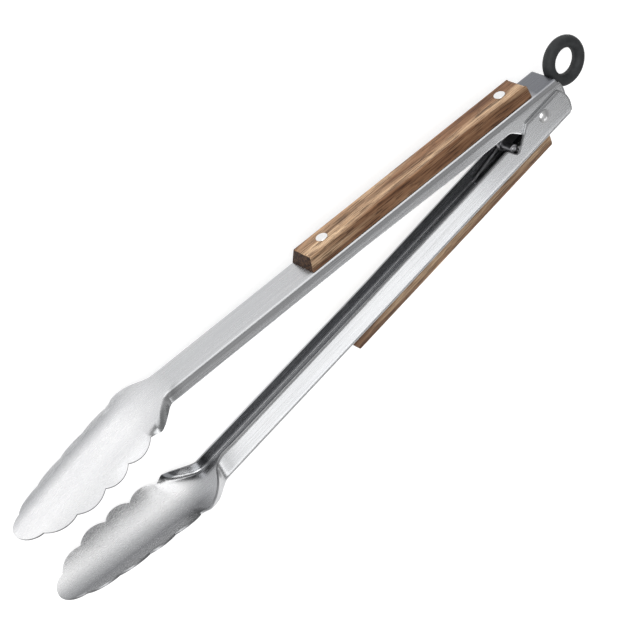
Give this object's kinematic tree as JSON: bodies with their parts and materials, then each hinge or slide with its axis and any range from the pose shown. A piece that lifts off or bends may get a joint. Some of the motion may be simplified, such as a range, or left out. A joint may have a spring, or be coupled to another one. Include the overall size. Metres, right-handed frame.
{
  "type": "spring loaded kitchen tongs",
  "caption": "Spring loaded kitchen tongs with channel arms, scalloped spoon heads, wooden scales and a pull-ring lock.",
  "frame": {"origin": "on the table under the middle of the tongs, which lie on their side with the arms sprung open", "axes": "+X from the hinge towards the tips; +Y from the near arm towards the far arm; +Z along the pivot rivet, up"},
  "size_m": [0.3762, 0.0638, 0.0454],
  "materials": {
    "stainless": "satin stainless sheet, fine brushing",
    "oiled_wood": "oiled hardwood, open grain",
    "scale_rivet": "pressed bright aluminium",
    "washer_steel": "plain zinc-plated steel",
    "pivot_steel": "bright steel",
    "spacer_tube": "drawn steel tube",
    "spring_wire": "drawn spring steel wire",
    "lock_steel": "blanked stainless strip",
    "roller_tube": "drawn steel tube",
    "ring_rubber": "matt charcoal moulded rubber"
  },
  "bodies": {
    "far_side": {"far_arm": "stainless", "far_wood_scale": "oiled_wood", "far_rear_rivet": "scale_rivet", "far_front_rivet": "scale_rivet", "far_rear_washer": "washer_steel", "far_front_washer": "washer_steel", "pivot_rivet": "pivot_steel", "upper_spacer": "spacer_tube", "lower_spacer": "spacer_tube", "torsion_spring": "spring_wire"},
    "near_side": {"near_arm": "stainless", "near_wood_scale": "oiled_wood", "near_rear_rivet": "scale_rivet", "near_front_rivet": "scale_rivet", "near_rear_washer": "washer_steel", "near_front_washer": "washer_steel"},
    "lock_slider": {"lock_strip": "lock_steel", "lock_pin": "lock_steel", "pull_ring": "ring_rubber"},
    "upper_roller": {"upper_roller": "roller_tube"},
    "lower_roller": {"lower_roller": "roller_tube"}
  },
  "joints": [
    {"name": "arm_hinge", "type": "hinge", "parent": "far_side", "child": "near_side", "pos_m": [-0.1456, 0, 0.0227], "axis": [0, 0, 1], "range_deg": [0, 6.95], "stiffness_Nm_per_rad": 0.72, "springref_deg": -20, "deforming": ["torsion_spring"]},
    {"name": "lock_slide", "type": "slide", "parent": "far_side", "child": "lock_slider", "axis": [-0.9686, -0.2487, 0], "range_m": [0, 0.006]},
    {"name": "upper_roller_spin", "type": "hinge", "parent": "lock_slider", "child": "upper_roller", "pos_m": [-0.12333, 0.00377, 0.0272], "axis": [0, 0, 1], "continuous": true},
    {"name": "lower_roller_spin", "type": "hinge", "parent": "lock_slider", "child": "lower_roller", "pos_m": [-0.12333, 0.00377, 0.0182], "axis": [0, 0, 1], "continuous": true}
  ]
}
